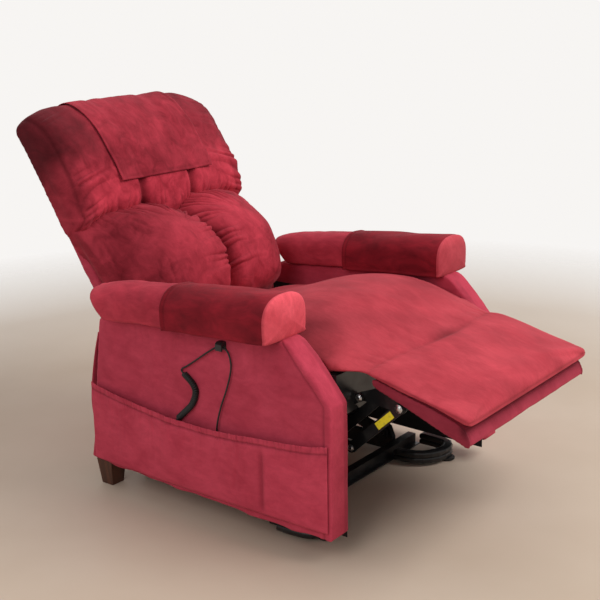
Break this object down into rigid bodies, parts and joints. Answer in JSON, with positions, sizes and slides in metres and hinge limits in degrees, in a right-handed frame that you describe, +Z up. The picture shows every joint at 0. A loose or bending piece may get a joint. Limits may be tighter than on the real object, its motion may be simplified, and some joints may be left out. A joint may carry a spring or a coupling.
{
  "type": "lift recliner chair",
  "caption": "Velvet lift recliner armchair: floor base with lift linkage and actuators, rolled arms, reclining lobed back, folding footrest, side pocket with wired handset.",
  "frame": {"origin": "on the floor, under the centre of the whole chair with the footrest out and the back reclined", "axes": "+Z up, -Y the way the sitter faces, +X the sitter's left"},
  "size_m": [0.926, 1.4472, 1.0143],
  "materials": {
    "velvet_deep": "crushed velvet nap",
    "velvet_seat": "velvet nap, worn lighter by use",
    "velvet_cover": "dense velvet",
    "black_steel": "satin powder coat",
    "zinc_steel": "zinc plated",
    "black_plastic": "moulded",
    "grey_plastic": "moulded",
    "black_rubber": "satin",
    "brown_wood": "stained and lacquered",
    "pale_wood": "raw plywood",
    "yellow_label": "plain adhesive label"
  },
  "bodies": {
    "base": {"front_beam": "black_steel", "rear_beam": "black_steel", "base_rail_left": "black_steel", "base_rail_right": "black_steel", "foot_loop_left": "black_steel", "foot_loop_right": "black_steel", "glide_front_left": "black_rubber", "glide_front_right": "black_rubber", "glide_rear_left": "black_rubber", "glide_rear_right": "black_rubber"},
    "lift_arms": {"lift_arm_left": "black_steel", "lift_arm_right": "black_steel", "lift_cross_tube": "black_steel"},
    "chair": {"carriage_rail_left": "black_steel", "carriage_rail_right": "black_steel", "seat_front_rail": "black_steel", "seat_deck": "pale_wood", "seat_cushion": "velvet_seat", "arm_panel_left": "velvet_deep", "arm_panel_right": "velvet_deep", "arm_roll_left": "velvet_deep", "arm_roll_right": "velvet_deep", "arm_cover_left": "velvet_cover", "arm_cover_right": "velvet_cover", "rear_foot_left": "brown_wood", "rear_foot_right": "brown_wood", "rear_skirt": "velvet_deep", "side_pocket": "velvet_deep", "handset_housing": "black_plastic", "cord_clip": "black_plastic", "cord_loop": "black_rubber", "cord_coil": "black_rubber", "cord_tail": "black_rubber", "control_box": "black_plastic"},
    "backrest": {"back_frame": "pale_wood", "back_bracket_left": "black_steel", "back_bracket_right": "black_steel", "back_rear_panel": "velvet_deep", "lumbar_lobe_left": "velvet_deep", "lumbar_lobe_right": "velvet_deep", "head_pillow": "velvet_deep", "head_cover": "velvet_cover"},
    "footrest": {"footrest_pad": "velvet_seat", "footrest_board": "velvet_deep", "footrest_arm_left": "black_steel", "footrest_arm_right": "black_steel"},
    "rocker_left": {"rocker_left": "black_steel"},
    "rocker_right": {"rocker_right": "black_steel"},
    "front_link_left": {"front_link_left": "black_steel"},
    "front_link_right": {"front_link_right": "black_steel", "link_label": "yellow_label"},
    "rear_link_left": {"rear_link_left": "black_steel"},
    "rear_link_right": {"rear_link_right": "black_steel"},
    "lift_actuator_body": {"lift_actuator_housing": "black_plastic"},
    "lift_actuator_shaft": {"lift_actuator_rod": "zinc_steel"},
    "recline_actuator_body": {"recline_actuator_housing": "black_plastic"},
    "recline_actuator_shaft": {"recline_actuator_rod": "zinc_steel"},
    "button_up": {"handset_button_up": "grey_plastic"},
    "button_down": {"handset_button_down": "grey_plastic"}
  },
  "joints": [
    {"name": "lift", "type": "hinge", "parent": "base", "child": "lift_arms", "pos_m": [0, -0.1466, 0.064], "axis": [1, 0, 0], "range_deg": [0, 60]},
    {"name": "chair_tilt", "type": "hinge", "parent": "lift_arms", "child": "chair", "pos_m": [0, 0.2814, 0.2], "axis": [1, 0, 0], "range_deg": [-40, 5]},
    {"name": "recline", "type": "hinge", "parent": "chair", "child": "backrest", "pos_m": [0, 0.3214, 0.402], "axis": [1, 0, 0], "range_deg": [-12, 20]},
    {"name": "footrest_fold", "type": "hinge", "parent": "chair", "child": "footrest", "pos_m": [0, -0.4006, 0.372], "axis": [1, 0, 0], "range_deg": [0, 80]},
    {"name": "rocker_left_pivot", "type": "hinge", "parent": "chair", "child": "rocker_left", "pos_m": [0, -0.2636, 0.242], "axis": [1, 0, 0], "range_deg": [-1, 81]},
    {"name": "front_link_left_pivot", "type": "hinge", "parent": "rocker_left", "child": "front_link_left", "pos_m": [0, -0.3716, 0.236], "axis": [1, 0, 0], "range_deg": [-81, 1]},
    {"name": "rear_link_left_pivot", "type": "hinge", "parent": "rocker_left", "child": "rear_link_left", "pos_m": [0, -0.3076, 0.243], "axis": [1, 0, 0], "range_deg": [-81, 1]},
    {"name": "rocker_right_pivot", "type": "hinge", "parent": "chair", "child": "rocker_right", "pos_m": [0, -0.2636, 0.242], "axis": [1, 0, 0], "range_deg": [-1, 81]},
    {"name": "front_link_right_pivot", "type": "hinge", "parent": "rocker_right", "child": "front_link_right", "pos_m": [0, -0.3716, 0.236], "axis": [1, 0, 0], "range_deg": [-81, 1]},
    {"name": "rear_link_right_pivot", "type": "hinge", "parent": "rocker_right", "child": "rear_link_right", "pos_m": [0, -0.3076, 0.243], "axis": [1, 0, 0], "range_deg": [-81, 1]},
    {"name": "lift_actuator_swing", "type": "hinge", "parent": "base", "child": "lift_actuator_body", "pos_m": [0, 0.2664, 0.062], "axis": [1, 0, 0], "range_deg": [-20, 5]},
    {"name": "lift_actuator_stroke", "type": "slide", "parent": "lift_actuator_body", "child": "lift_actuator_shaft", "axis": [0, -1, -0.0033], "range_m": [-0.002, 0.07]},
    {"name": "recline_actuator_swing", "type": "hinge", "parent": "chair", "child": "recline_actuator_body", "pos_m": [0, 0.0764, 0.322], "axis": [1, 0, 0], "range_deg": [-5, 6]},
    {"name": "recline_actuator_stroke", "type": "slide", "parent": "recline_actuator_body", "child": "recline_actuator_shaft", "axis": [0, 0.9998, 0.0175], "range_m": [-0.025, 0.035]},
    {"name": "button_up_press", "type": "slide", "parent": "chair", "child": "button_up", "axis": [1, 0, 0], "range_m": [0, 0.0015], "stiffness_N_per_m": 400},
    {"name": "button_down_press", "type": "slide", "parent": "chair", "child": "button_down", "axis": [1, 0, 0], "range_m": [0, 0.0015], "stiffness_N_per_m": 400}
  ],
  "couplings": [
    {"joint": "chair_tilt", "follows": "lift", "ratio": -0.58333},
    {"joint": "rocker_left_pivot", "follows": "footrest_fold", "ratio": 1},
    {"joint": "front_link_left_pivot", "follows": "footrest_fold", "ratio": -1},
    {"joint": "rear_link_left_pivot", "follows": "footrest_fold", "ratio": -1},
    {"joint": "rocker_right_pivot", "follows": "footrest_fold", "ratio": 1},
    {"joint": "front_link_right_pivot", "follows": "footrest_fold", "ratio": -1},
    {"joint": "rear_link_right_pivot", "follows": "footrest_fold", "ratio": -1},
    {"joint": "lift_actuator_swing", "follows": "lift", "ratio": -0.24445},
    {"joint": "lift_actuator_stroke", "follows": "lift", "m_per_rad": 0.059326},
    {"joint": "recline_actuator_swing", "follows": "recline", "ratio": 0.14572},
    {"joint": "recline_actuator_stroke", "follows": "recline", "m_per_rad": 0.072647}
  ]
}
